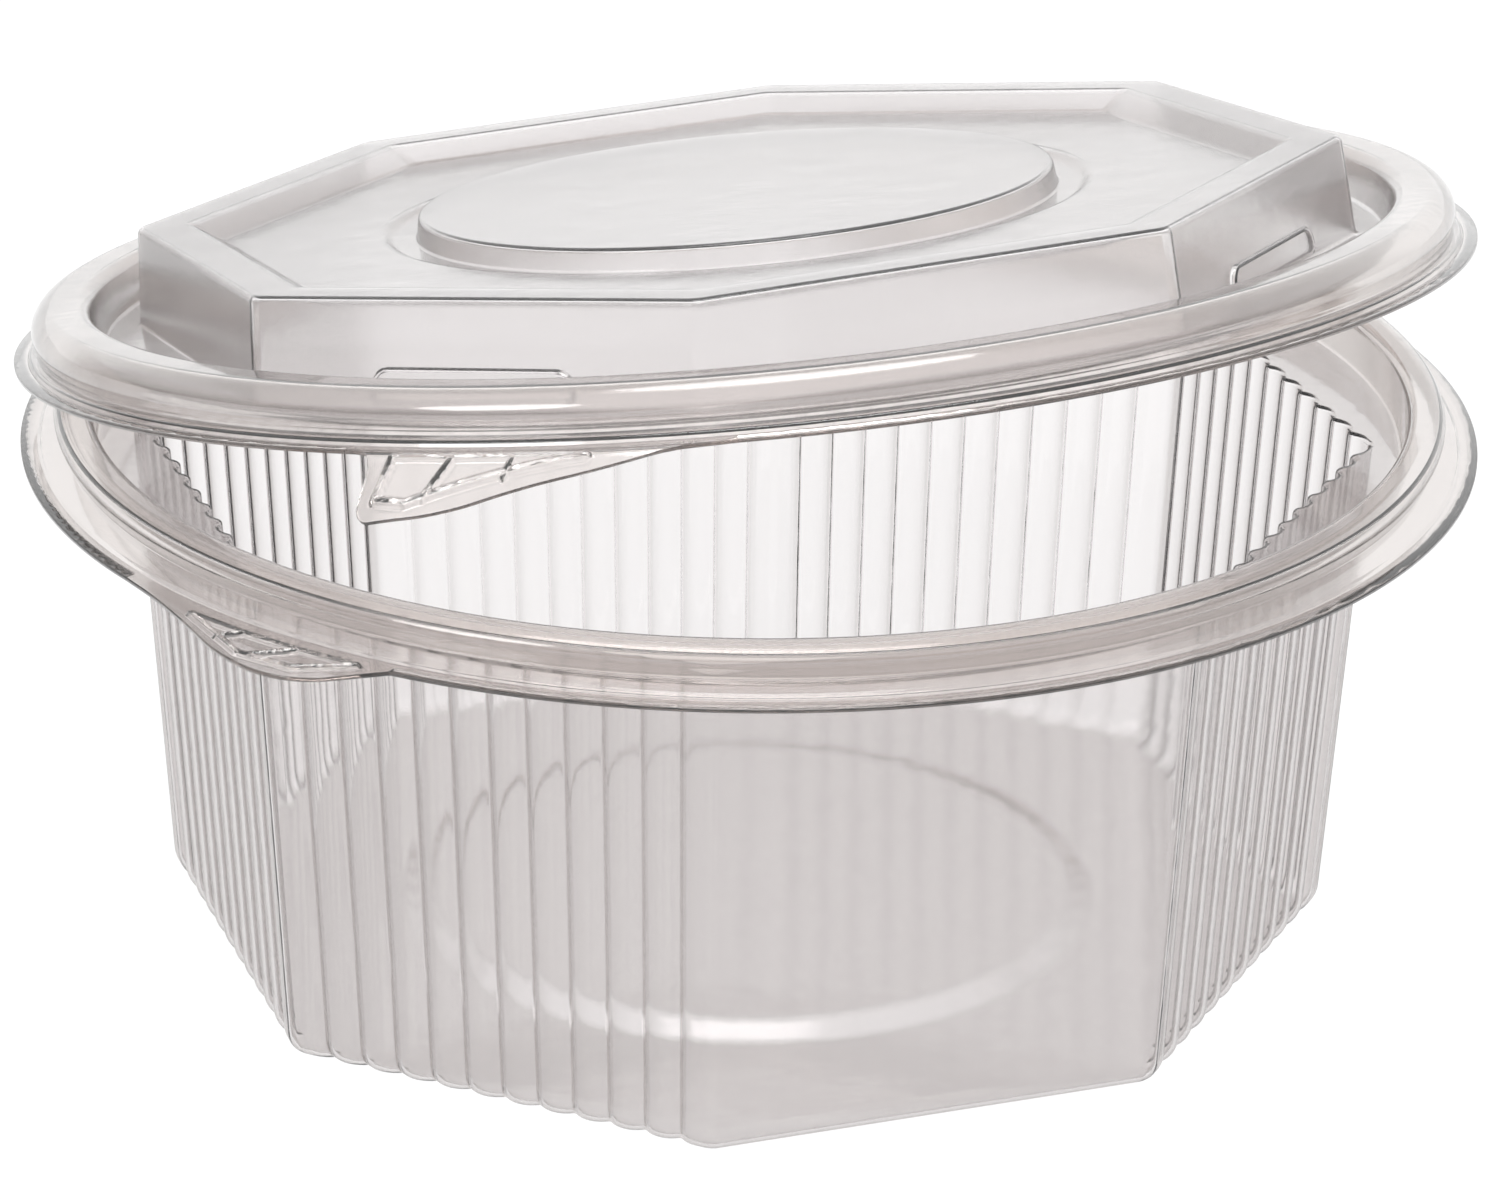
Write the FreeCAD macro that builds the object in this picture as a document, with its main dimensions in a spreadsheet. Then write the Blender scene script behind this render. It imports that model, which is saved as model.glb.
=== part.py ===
import FreeCAD, Part
import math
import os

# Clear thermoformed clamshell pack: a fluted octagonal tub and a domed octagonal lid
# on one round rim, joined by a living hinge. Millimetres, +Z up. The origin is the centre
# of the tub's foot and -Y points towards the plain label face, opposite the hinge.
# Angles in plan are degrees about +Z, counted from +X. Every "rise" on the rim is
# counted from the top of the tub's flange, and on the lid from the underside of its flange.

SIZES = [
    ("gauge", 0.5, "thickness of the formed sheet"),
    ("rim_radius", 85.0, "outer edge of both flanges"),
    ("flange_height", 61.0, "top of the tub's flange above the table"),
    ("flange_width", 2.1, "flat edge of the flange, outside its fine step"),
    ("step_rise", 0.35, "height of that step"),
    ("crease_width", 2.7, "from that step in to the crease under the snap bead"),
    ("crease_rise", 1.2, "height of that crease"),
    ("bead_bulge", 1.2, "how far the snap bead stands out over its crease"),
    ("bead_bulge_rise", 3.6, "height of the widest line"),
    ("bead_rise", 4.9, "crest of the snap bead"),
    ("bead_width", 4.6, "snap bead from its widest line to its inner edge"),
    ("bead_rounding", 1.6, "outer rounding of the snap bead"),
    ("crest_rounding", 1.4, "outer rounding of its crest"),
    ("fine_rounding", 0.2, "roundings of the fine step"),
    ("inner_draft", 0.6, "slope of the rim's inner wall"),
    ("ledge_drop", 1.0, "ledge below the top of the flange"),
    ("ledge_width", 3.0, "ledge between that wall and the octagon's corners"),
    ("wall_draft", 3.8, "how far the octagon's corners draw in towards the table"),
    ("corner_rounding", 2.0, "upright corners of the octagon"),
    ("flute_count", 10, "flutes on each fluted face"),
    ("flute_depth", 1.1, "depth of the grooves between flutes"),
    ("corner_margin", 4.4, "plain strip from a corner to the first groove"),
    ("toe_height", 3.4, "height of the rounded bottom edge"),
    ("toe_depth", 2.4, "how far the bottom edge rounds inwards"),
    ("standing_width", 19.7, "flat band of the foot, from the rounded edge to the raised disc"),
    ("kick_slope", 3.2, "width of that disc's sloping edge"),
    ("kick_rise", 1.4, "height of that disc"),
    ("closing_gap", 0.3, "air between the two flanges when shut"),
    ("bead_clearance", 0.35, "air outside the snap bead when shut"),
    ("channel_clearance", 1.0, "air inside the snap bead when shut"),
    ("crest_clearance", 1.2, "air over the snap bead when shut"),
    ("lid_crease_rise", 1.75, "crease under the lid's bead"),
    ("lid_bulge", 0.6, "how far the lid's bead stands out over its crease"),
    ("lid_bulge_rise", 4.0, "height of its widest line"),
    ("moat_rise", 0.9, "moat round the dome, at its top face"),
    ("moat_width", 3.05, "moat from the channel's foot to the dome's corners"),
    ("dome_draft", 1.0, "how far the dome's corners draw in towards its top"),
    ("dome_rise", 12.4, "top of the dome"),
    ("ridge_width", 5.4, "flat octagonal ridge round the dome's top"),
    ("pan_slope", 3.4, "width of the slope down from the ridge"),
    ("pan_drop", 2.3, "depth of the pan inside the ridge"),
    ("pan_width", 15.0, "flat of the pan, from its slope to the ring groove"),
    ("groove_slope", 0.5, "outer slope of the ring groove"),
    ("groove_drop", 0.8, "depth of that groove below the pan"),
    ("groove_width", 1.6, "flat bottom of that groove"),
    ("disc_slope", 0.3, "slope of the edge of the raised disc in the pan"),
    ("disc_drop", 0.4, "disc below the top of the ridge"),
    ("lug_width", 25.0, "stacking lugs at the foot of every other face of the dome"),
    ("lug_rise", 5.0, "top of the lugs"),
    ("lug_depth", 0.7, "how far the lugs stand out from the dome's foot"),
    ("lug_rounding", 2.0, "upper corners of the lugs"),
    ("hinge_angle", 103.5, "direction of the hinge in plan"),
    ("hinge_stand", 1.6, "fold line outside the edge of the flanges"),
    ("hinge_length", 34.0, "length of the fold line"),
    ("hinge_taper", 2.0, "rounding at the ends of the fold line"),
    ("ajar_angle", 10.4, "opening of the lid as it stands"),
    ("tab_angle", 224.0, "line between the two finger tabs in plan"),
    ("tab_gap", 1.2, "from that line to the root of each tab"),
    ("tab_steep", 6.5, "from that line to each tab's steep corner"),
    ("tab_shoulder", 15.5, "from that line to each tab's long corner"),
    ("tab_length", 36.0, "from that line to the end of each tab's taper"),
    ("tab_reach", 5.8, "how far each tab stands out from the rim"),
    ("tab_flat", 1.2, "flat root of the lid's tab, outside the flange"),
    ("tab_droop", 45.0, "how steeply the lid's tab hangs"),
    ("rib_width", 0.9, "ribs on the finger tabs"),
    ("rib_rise", 0.35, "height of those ribs"),
    ("rib_margin", 1.4, "from a tab's edge to the middle of its ribs"),
    ("rib_tail", 10.0, "from a tab's end to the end of its ribs"),
    ("rib_slant", 2.0, "slant of the two ribs that cross a tab"),
]

FACES = 8
FACE_TURN = 360.0 / FACES
LABEL_FACE = 270.0
HALF = math.radians(FACE_TURN / 2)


def make_sheet(doc):
    """The driving dimensions, one named cell each."""
    sheet = doc.addObject("Spreadsheet::Sheet", "Sizes")
    for row, (alias, value, note) in enumerate(SIZES, 1):
        sheet.set(f"A{row}", note)
        sheet.set(f"B{row}", str(value))
        sheet.setAlias(f"B{row}", alias)
    doc.recompute()
    return sheet


class Sizes:
    """The sheet's cells by their aliases, and the radii that follow from them."""

    def __init__(self, sheet):
        for alias, _, _ in SIZES:
            setattr(self, alias, float(sheet.get(alias)))
        self.step_radius = self.rim_radius - self.flange_width
        self.crease_radius = self.step_radius - self.crease_width
        self.bead_radius = self.crease_radius + self.bead_bulge
        self.bead_inner_radius = self.bead_radius - self.bead_width
        self.ledge_radius = self.bead_inner_radius - self.inner_draft
        self.mouth_corner = self.ledge_radius - self.ledge_width
        self.foot_corner = self.mouth_corner - self.wall_draft
        self.kick_radius = self.foot_corner * math.cos(HALF) - self.toe_depth - self.standing_width
        self.moat_radius = self.ledge_radius - self.channel_clearance - 1.5 * self.gauge
        self.dome_foot_flat = (self.moat_radius - self.moat_width) * math.cos(HALF)
        self.dome_flat = self.dome_foot_flat - self.dome_draft * math.cos(HALF)
        self.pan_flat = self.dome_flat - self.ridge_width - self.pan_slope
        self.groove_radius = self.pan_flat - self.pan_width
        self.groove_foot = self.groove_radius - self.groove_slope - self.groove_width
        self.hinge_reach = self.rim_radius + self.hinge_stand


# Outlines


def vec(x, y, z=0.0):
    return FreeCAD.Vector(x, y, z)


def plan_point(radius, degrees):
    angle = math.radians(degrees)
    return vec(radius * math.cos(angle), radius * math.sin(angle))


def rounded(points, closed=False):
    """Lines and arcs through points (x, y, rounding radius)."""
    count = len(points)
    curves = []
    ends = []
    for i, (x, y, radius) in enumerate(points):
        here = vec(x, y)
        if radius <= 0 or (not closed and i in (0, count - 1)):
            ends.append((here, here))
            continue
        before = vec(*points[i - 1][:2]) - here
        after = vec(*points[(i + 1) % count][:2]) - here
        half_angle = before.getAngle(after) / 2
        reach = radius / math.tan(half_angle)
        start = here + before.normalize() * reach
        end = here + after.normalize() * reach
        middle = (before + after).normalize()
        centre_reach = radius / math.sin(half_angle)
        top = here + middle * (centre_reach - radius)
        ends.append((start, end))
        curves.append((i, Part.Arc(start, top, end)))
    arcs = dict(curves)
    path = []
    for i in range(count):
        if i in arcs:
            path.append(arcs[i])
        nxt = (i + 1) % count
        if nxt == 0 and not closed:
            break
        if (ends[i][1] - ends[nxt][0]).Length > 1e-6:
            path.append(Part.LineSegment(ends[i][1], ends[nxt][0]))
    return path


def offset_left(points, distance):
    """The same path a sheet's thickness to its left, with concentric roundings."""
    result = []
    for i, (x, y, radius) in enumerate(points):
        here = vec(x, y)
        before = here - vec(*points[max(i - 1, 0)][:2])
        after = vec(*points[min(i + 1, len(points) - 1)][:2]) - here
        if i == 0:
            before = after
        if i == len(points) - 1:
            after = before
        before.normalize()
        after.normalize()
        normal = vec(-before.y - after.y, before.x + after.x)
        normal.normalize()
        shift = distance / (normal.x * -before.y + normal.y * before.x)
        turn = before.x * after.y - before.y * after.x
        inner = radius - distance if turn > 0 else radius + distance
        moved = here + normal * shift
        result.append((moved.x, moved.y, max(inner, 0.0) if radius else 0.0))
    return result


def offset_closed(points, distance):
    """A closed clockwise outline grown by a distance, or shrunk by a negative one."""
    result = []
    count = len(points)
    for i, (x, y, radius) in enumerate(points):
        around = [points[i - 1], points[i], points[(i + 1) % count]]
        moved = offset_left([(px, py, 0) for px, py, _ in around], distance)[1]
        result.append((moved[0], moved[1], radius + distance if distance > 0 else radius / 3))
    return result


def skin(points, gauge):
    """Closed section of a sheet whose top face follows the points."""
    under = offset_left(points, gauge)[::-1]
    top_path = rounded(points)
    under_path = rounded(under)
    first, last = points[0], points[-1]
    ends = [
        Part.LineSegment(vec(*last[:2]), vec(*under[0][:2])),
        Part.LineSegment(vec(*under[-1][:2]), vec(*first[:2])),
    ]
    return top_path + [ends[0]] + under_path + [ends[1]]


def octagon(flat, rounding):
    """Plain octagon with rounded corners; flat is the distance to its faces."""
    corner = flat / math.cos(HALF)
    points = []
    for face in range(FACES):
        place = plan_point(corner, LABEL_FACE + FACE_TURN * (face - 0.5))
        points.append((place.x, place.y, rounding))
    return rounded(points, closed=True)


def fluted_octagon(flat, rounding, pitch, bulge, depth, count):
    """Octagon whose faces, all but the label face, carry round flutes.

    bulge is the flutes' radius and depth the grooves' depth below the faces.
    """
    corner = flat / math.cos(HALF)
    corner_reach = rounding * math.tan(HALF)
    side = corner * math.sin(HALF)
    curves = []
    for face in range(FACES):
        heading = LABEL_FACE + FACE_TURN * face
        out = plan_point(1.0, heading)
        along = plan_point(1.0, heading + 90)

        def place(across, drop):
            return along * across + out * (flat - drop)

        start = place(corner_reach - side, 0)
        end = place(side - corner_reach, 0)
        if face == 0:
            curves.append(Part.LineSegment(start, end))
        else:
            first_groove = -pitch * count / 2
            half_drop = bulge - math.sqrt(bulge ** 2 - (pitch / 4) ** 2)
            crest = place(first_groove - pitch / 2, 0)
            curves.append(Part.LineSegment(start, crest))
            groove = place(first_groove, depth)
            curves.append(Part.Arc(crest, place(first_groove - pitch / 4, half_drop), groove))
            for flute in range(count):
                left = first_groove + pitch * flute
                groove_1 = place(left, depth)
                top = place(left + pitch / 2, 0)
                groove_2 = place(left + pitch, depth)
                curves.append(Part.Arc(groove_1, top, groove_2))
            last_groove = pitch * count / 2
            crest = place(last_groove + pitch / 2, 0)
            middle = place(last_groove + pitch / 4, half_drop)
            curves.append(Part.Arc(place(last_groove, depth), middle, crest))
            curves.append(Part.LineSegment(crest, end))
        turn = heading + FACE_TURN / 2
        centre = plan_point((flat - rounding) / math.cos(HALF), turn)
        next_out = plan_point(1.0, heading + FACE_TURN)
        curves.append(Part.Arc(end, centre + plan_point(rounding, turn), centre + next_out * rounding))
    return curves


# Features


def origin_plane(body, role):
    return next(item for item in body.Origin.OriginFeatures if item.Role == role)


def add_sketch(body, name, role, curves, lift=None):
    sketch = body.newObject("Sketcher::SketchObject", name)
    sketch.AttachmentSupport = [(origin_plane(body, role), "")]
    sketch.MapMode = "FlatFace"
    if lift:
        sketch.setExpression("AttachmentOffset.Base.z", lift)
    sketch.addGeometry(curves, False)
    return sketch


def add_turned(body, kind, name, curves):
    """A Revolution or Groove about the upright axis."""
    sketch = add_sketch(body, name + "_section", "XZ_Plane", curves)
    feature = body.newObject("PartDesign::" + kind, name)
    feature.Profile = sketch
    feature.ReferenceAxis = (sketch, ["V_Axis"])
    feature.Angle = 360
    feature.Refine = False
    return feature


def add_loft(body, kind, name, sections):
    """An AdditiveLoft or SubtractiveLoft through (height expression, curves) pairs."""
    sketches = []
    for number, (lift, curves) in enumerate(sections):
        sketches.append(add_sketch(body, f"{name}_{number}", "XY_Plane", curves, lift))
    feature = body.newObject("PartDesign::" + kind, name)
    feature.Profile = sketches[0]
    feature.Sections = sketches[1:]
    feature.Ruled = True
    feature.Refine = False
    return feature


def add_plate(body, name, curves, lift):
    """A flat piece of the sheet, one gauge thick."""
    sketch = add_sketch(body, name + "_outline", "XY_Plane", curves, lift)
    feature = body.newObject("PartDesign::Pad", name)
    feature.Profile = sketch
    feature.setExpression("Length", "Sizes.gauge")
    feature.Refine = False
    return feature


def turned_in_plan(points, degrees):
    """Points drawn with +Y outwards, turned so that +Y looks along an angle in plan."""
    turn = math.radians(degrees - 90)
    result = []
    for x, y, radius in points:
        turned_x = x * math.cos(turn) - y * math.sin(turn)
        turned_y = x * math.sin(turn) + y * math.cos(turn)
        result.append((turned_x, turned_y, radius))
    return result


def hinge_tongue(s):
    """Half of the living hinge: from inside the flange to the fold line, with tapered ends."""
    root = s.rim_radius - (s.rim_radius - s.step_radius) / 2
    half = s.hinge_length / 2
    foot = half + s.hinge_reach - s.rim_radius
    foot_height = math.sqrt(root ** 2 - foot ** 2)
    points = [
        (-foot, foot_height, 0),
        (-half, s.hinge_reach, s.hinge_taper),
        (half, s.hinge_reach, s.hinge_taper),
        (foot, foot_height, 0),
    ]
    path = rounded(turned_in_plan(points, s.hinge_angle))
    closing = turned_in_plan([points[-1], (0, root, 0), points[0]], s.hinge_angle)
    path.append(Part.Arc(*[vec(x, y) for x, y, _ in closing]))
    return path


def tab_outline(s, side, reach):
    """Plan of a finger tab: a steep side by the line between the tabs, then a long taper.

    side is 1 or -1 for the side of that line, and reach how far out the tab goes.
    """
    root = s.rim_radius - (s.rim_radius - s.step_radius) / 2
    tip = s.rim_radius + reach
    fillet = reach / 2
    end_height = math.sqrt(root ** 2 - s.tab_length ** 2)
    points = [
        (s.tab_gap, math.sqrt(root ** 2 - s.tab_gap ** 2), 0),
        (s.tab_steep, tip, fillet),
        (s.tab_shoulder, tip, 2 * reach),
        (s.tab_length, end_height, 0),
    ]
    points = [(side * x, y, radius) for x, y, radius in points]
    middle_x = (s.tab_gap + s.tab_length) / 2
    middle = (side * middle_x, math.sqrt(root ** 2 - middle_x ** 2), 0)
    path = rounded(turned_in_plan(points, s.tab_angle))
    closing = turned_in_plan([points[-1], middle, points[0]], s.tab_angle)
    path.append(Part.Arc(*[vec(x, y) for x, y, _ in closing]))
    return path


def rib_figure(s, side, reach):
    """Plan of the ribs on a finger tab: a closed figure that two slanted ribs divide."""
    tip = s.rim_radius + reach - s.rib_margin
    root = s.rim_radius + 0.7 * s.rib_margin
    first = s.tab_gap + 2 * s.rib_margin
    last = s.tab_length - s.rib_tail
    start, near_foot, far_foot, end = [
        vec(x, math.sqrt(root ** 2 - x ** 2))
        for x in (first, first + (last - first) / 3, last - (last - first) / 3, last)
    ]
    outer = [start, vec(s.tab_steep + 0.8 * s.rib_margin, tip), vec(s.tab_shoulder, tip), end]

    def across(path, x):
        """The point of a path, which runs towards +X, at a place x."""
        for one, two in zip(path, path[1:]):
            if one.x <= x <= two.x:
                return one + (two - one) * ((x - one.x) / (two.x - one.x))
        return path[-1]

    cells = []
    left = [start]
    for foot in (near_foot, far_foot, end):
        head = across(outer, foot.x - s.rib_slant) if foot is not end else end
        between = [point for point in outer[1:3] if left[-1].x < point.x < head.x]
        right = [foot, head] if foot is not end else [end]
        cells.append(left + between + right[::-1])
        left = right
    curves = []
    for number, corners in enumerate([outer + [far_foot, near_foot]] + cells):
        shift = s.rib_width / 2 if number == 0 else -s.rib_width / 2
        moved = offset_closed([(point.x, point.y, s.rib_width) for point in corners], shift)
        mirrored = [(side * x, y, radius) for x, y, radius in moved]
        curves += rounded(turned_in_plan(mirrored, s.tab_angle), closed=True)
    return curves


# Tub


def tub_flat(s, height):
    """Distance from the axis to the octagon's faces at a height above the table."""
    ledge = s.flange_height - s.ledge_drop
    corner = s.foot_corner + (s.mouth_corner - s.foot_corner) * height / ledge
    return corner * math.cos(HALF)


def tub_section(s, height, inset, inward):
    """Fluted outline at a height; inset rounds it in, inward is the skin's thickness."""
    flat = tub_flat(s, height)
    count = int(s.flute_count)
    side = 2 * flat * math.tan(HALF)
    pitch = (side - 2 * s.corner_margin) / count
    bulge = ((pitch / 2) ** 2 + s.flute_depth ** 2) / (2 * s.flute_depth) - inward
    depth = bulge - math.sqrt(bulge ** 2 - (pitch / 2) ** 2)
    rounding = s.corner_rounding - inward
    return fluted_octagon(flat - inset - inward, rounding, pitch, bulge, depth, count)


def wall_sections(s, inward, top):
    """Sections of the tub from the table to a top given as (value, expression).

    The first three make the rounded bottom edge; inward is 0 outside and the gauge inside.
    """
    sections = []
    for part in (0, 0.5, 1):
        angle = math.radians(90 * part)
        inset = (s.toe_depth - inward) * (1 - math.sin(angle))
        share = math.cos(angle)
        height = s.toe_height - (s.toe_height - inward) * share
        thickness = "Sizes.gauge" if inward else "0"
        lift = f"Sizes.toe_height - (Sizes.toe_height - {thickness}) * {share:.6f}"
        sections.append((lift, tub_section(s, height, inset, inward)))
    value, expression = top
    sections.append((expression, tub_section(s, value, 0, inward)))
    return sections


def tub_rim(s):
    """Top face of the tub's rim, from the flange's edge to under the ledge."""
    flange = s.flange_height
    return [
        (s.rim_radius, flange, 0),
        (s.step_radius, flange, s.fine_rounding),
        (s.step_radius - s.step_rise, flange + s.step_rise, s.fine_rounding),
        (s.crease_radius, flange + s.crease_rise, 0.5),
        (s.bead_radius, flange + s.bead_bulge_rise, s.bead_rounding),
        (s.bead_radius - s.bead_rounding, flange + s.bead_rise, s.crest_rounding),
        (s.bead_inner_radius, flange + s.bead_rise, 0.9),
        (s.ledge_radius, flange - s.ledge_drop, 0.6),
        (s.mouth_corner * math.cos(HALF) - 2 * s.flute_depth, flange - s.ledge_drop, 0),
    ]


def kick_disc(s):
    """Top face of the raised disc, from its foot to the axis."""
    return [
        (s.kick_radius + s.gauge, s.gauge, 0),
        (s.kick_radius, s.gauge, 0.9),
        (s.kick_radius - s.kick_slope, s.gauge + s.kick_rise, 0.9),
        (0, s.gauge + s.kick_rise, 0),
    ]


def make_tub(doc, s):
    body = doc.addObject("PartDesign::Body", "tub")
    ledge = s.flange_height - s.ledge_drop
    under_ledge = (ledge - s.gauge / 2, "Sizes.flange_height - Sizes.ledge_drop - Sizes.gauge / 2")
    over_ledge = (ledge + s.gauge, "Sizes.flange_height - Sizes.ledge_drop + Sizes.gauge")
    add_turned(body, "Revolution", "rim", skin(tub_rim(s), s.gauge))
    add_loft(body, "AdditiveLoft", "wall", wall_sections(s, 0, under_ledge))
    add_loft(body, "SubtractiveLoft", "inside", wall_sections(s, s.gauge, over_ledge))
    floor_hole = rounded([(0, -1, 0), (s.kick_radius, -1, 0), (s.kick_radius, 2, 0), (0, 2, 0)], closed=True)
    add_turned(body, "Groove", "floor_hole", floor_hole)
    add_turned(body, "Revolution", "raised_disc", skin(kick_disc(s), s.gauge))
    flange_under = "Sizes.flange_height - Sizes.gauge"
    add_plate(body, "hinge_half", hinge_tongue(s), flange_under)
    add_plate(body, "finger_tab", tab_outline(s, 1, s.tab_reach), flange_under)
    ribs = body.newObject("PartDesign::Pad", "tab_ribs")
    middle = "Sizes.flange_height - Sizes.gauge / 2"
    ribs.Profile = add_sketch(body, "tab_ribs_plan", "XY_Plane", rib_figure(s, 1, s.tab_reach), middle)
    ribs.setExpression("Length", "Sizes.rib_rise + Sizes.gauge / 2")
    ribs.Refine = False
    return body


# Lid, drawn shut and then opened about the hinge


def lid_base(s):
    return s.flange_height + s.closing_gap


def lid_rim(s):
    """Top face of the lid's rim, from the flange's edge to under the dome."""
    base = lid_base(s)
    lip = s.bead_radius + s.bead_clearance + s.gauge
    channel = s.bead_inner_radius - s.channel_clearance
    crest = s.bead_rise - s.closing_gap + s.crest_clearance + s.gauge
    lip_rise = s.step_rise + s.crease_rise / 2 - s.closing_gap + s.gauge
    return [
        (s.rim_radius, base + s.gauge, 0),
        (s.step_radius + s.gauge, base + s.gauge, s.fine_rounding),
        (s.step_radius + s.gauge / 2, base + lip_rise, s.fine_rounding),
        (lip + s.gauge / 5, base + lip_rise + s.gauge / 5, 0),
        (lip, base + s.lid_crease_rise, 0.4),
        (lip + s.lid_bulge, base + s.lid_bulge_rise, s.bead_rounding),
        (lip - s.bead_rounding * 0.75, base + crest, s.bead_rounding),
        (channel, base + crest, s.crest_rounding),
        (s.moat_radius, base + s.moat_rise, 0.8),
        (s.dome_foot_flat - 2, base + s.moat_rise, 0),
    ]


def lug_front(s, margin):
    """Front view of a stacking lug, smaller by a margin at its sides and top."""
    half = s.lug_width / 2 - margin
    foot = lid_base(s) + s.moat_rise - s.gauge - margin
    top = lid_base(s) + s.lug_rise - margin
    rounding = s.lug_rounding - margin
    points = [(-half, foot, 0), (half, foot, 0), (half, top, rounding), (-half, top, rounding)]
    return rounded(points, closed=True)


def add_lugs(body, s):
    """Lugs pressed out of every other face of the dome, as hollow as the rest of the sheet."""
    turn = FACE_TURN
    out = plan_point(1.0, LABEL_FACE + turn)

    def front_sketch(name, curves, reach):
        sketch = add_sketch(body, name, "XZ_Plane", curves)
        place = vec(out.x * reach, 0, -out.y * reach)
        sketch.AttachmentOffset = FreeCAD.Placement(place, FreeCAD.Rotation(vec(0, 1, 0), turn))
        return sketch

    front = s.dome_foot_flat + s.lug_depth
    lug = body.newObject("PartDesign::Pad", "lug")
    lug.Profile = front_sketch("lug_front", lug_front(s, 0), front)
    lug.setExpression("Length", "Sizes.lug_depth + Sizes.gauge * 0.9")
    lug.Reversed = True
    hollow = body.newObject("PartDesign::Pocket", "lug_hollow")
    hollow.Profile = front_sketch("lug_hollow_front", lug_front(s, s.gauge), front - s.gauge)
    hollow.setExpression("Length", "Sizes.lug_depth + Sizes.gauge * 2")
    ring = body.newObject("PartDesign::PolarPattern", "lugs")
    ring.Originals = [lug, hollow]
    ring.Axis = (origin_plane(body, "Z_Axis"), [""])
    ring.Angle = 360
    ring.Occurrences = FACES // 2
    for feature in (lug, hollow, ring):
        feature.Refine = False
    body.Tip = ring


def make_lid(doc, s):
    body = doc.addObject("PartDesign::Body", "lid_formed")
    gauge = s.gauge
    base = "Sizes.flange_height + Sizes.closing_gap"
    foot_flat = s.dome_foot_flat
    top_flat = s.dome_flat
    rounding = s.corner_rounding
    add_turned(body, "Revolution", "lid_rim", skin(lid_rim(s), gauge))
    outside = [
        (f"{base} + Sizes.moat_rise - Sizes.gauge / 2", octagon(foot_flat, rounding)),
        (f"{base} + Sizes.dome_rise - Sizes.gauge", octagon(top_flat, rounding)),
        (f"{base} + Sizes.dome_rise", octagon(top_flat - gauge, rounding)),
    ]
    inside = [
        (f"{base} + Sizes.moat_rise - 2 * Sizes.gauge", octagon(foot_flat - gauge, rounding - gauge)),
        (f"{base} + Sizes.dome_rise - Sizes.gauge", octagon(top_flat - gauge, rounding - gauge)),
    ]
    add_loft(body, "AdditiveLoft", "dome", outside)
    add_loft(body, "SubtractiveLoft", "dome_inside", inside)
    pan_edge = top_flat - s.ridge_width
    pan_foot = s.pan_flat
    pan_under = [
        (f"{base} + Sizes.dome_rise - Sizes.gauge / 2", octagon(pan_edge + gauge, rounding)),
        (f"{base} + Sizes.dome_rise - Sizes.pan_drop - Sizes.gauge", octagon(pan_foot + gauge / 4, rounding)),
    ]
    pan_top = [
        (f"{base} + Sizes.dome_rise + Sizes.gauge", octagon(pan_edge + gauge * s.pan_slope / s.pan_drop, rounding)),
        (f"{base} + Sizes.dome_rise - Sizes.pan_drop", octagon(pan_foot, rounding)),
    ]
    add_loft(body, "AdditiveLoft", "pan", pan_under)
    add_loft(body, "SubtractiveLoft", "pan_inside", pan_top)
    pan = lid_base(s) + s.dome_rise - s.pan_drop
    disc_top = lid_base(s) + s.dome_rise - s.disc_drop
    centre_hole = [
        (0, pan - 2 * gauge, 0),
        (s.groove_radius + gauge, pan - 2 * gauge, 0),
        (s.groove_radius + gauge, pan + gauge, 0),
        (0, pan + gauge, 0),
    ]
    add_turned(body, "Groove", "centre_hole", rounded(centre_hole, closed=True))
    disc = [
        (s.groove_radius + 2 * gauge, pan, 0),
        (s.groove_radius, pan, 0.4),
        (s.groove_foot + s.groove_width, pan - s.groove_drop, 0.5),
        (s.groove_foot, pan - s.groove_drop, 0.3),
        (s.groove_foot - s.disc_slope, disc_top, 0.5),
        (0, disc_top, 0),
    ]
    add_turned(body, "Revolution", "raised_centre", skin(disc, gauge))
    add_lugs(body, s)
    add_plate(body, "lid_hinge_half", hinge_tongue(s), base)
    return body


def tab_cone(s):
    """Section of a ring of sheet that leaves the lid's flange and hangs down outside the rim."""
    base = lid_base(s)
    run = s.tab_reach * math.cos(math.radians(s.tab_droop))
    fall = s.tab_reach * math.sin(math.radians(s.tab_droop))
    root = s.rim_radius + s.tab_flat
    return [
        (root + 2 * run, base + s.gauge - 2 * fall, 0),
        (root, base + s.gauge, 2 * s.gauge),
        (s.step_radius + s.gauge * 2, base + s.gauge, 0),
    ]


def cut_from_cone(doc, name, section, outline):
    """A ring of sheet, given by its section, cut to an outline in plan."""
    ring = doc.addObject("PartDesign::Body", name + "_ring")
    add_turned(ring, "Revolution", name + "_turned", section)
    cutter = doc.addObject("PartDesign::Body", name + "_cutter")
    prism = cutter.newObject("PartDesign::Pad", name + "_prism")
    prism.Profile = add_sketch(cutter, name + "_plan", "XY_Plane", outline)
    prism.setExpression("Length", "2 * Sizes.flange_height")
    piece = doc.addObject("Part::Common", name)
    piece.Base = ring
    piece.Tool = cutter
    return piece


def make_lid_tab(doc, s):
    """The lid's finger tab and the ribs on it."""
    reach = s.tab_flat + s.tab_reach * math.cos(math.radians(s.tab_droop))
    cone = tab_cone(s)
    tab = cut_from_cone(doc, "lid_tab", skin(cone, s.gauge), tab_outline(s, -1, reach))
    rib_section = skin(offset_left(cone, -s.rib_rise), s.rib_rise + s.gauge / 2)
    ribs = cut_from_cone(doc, "lid_ribs", rib_section, rib_figure(s, -1, reach))
    return [tab, ribs]


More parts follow.
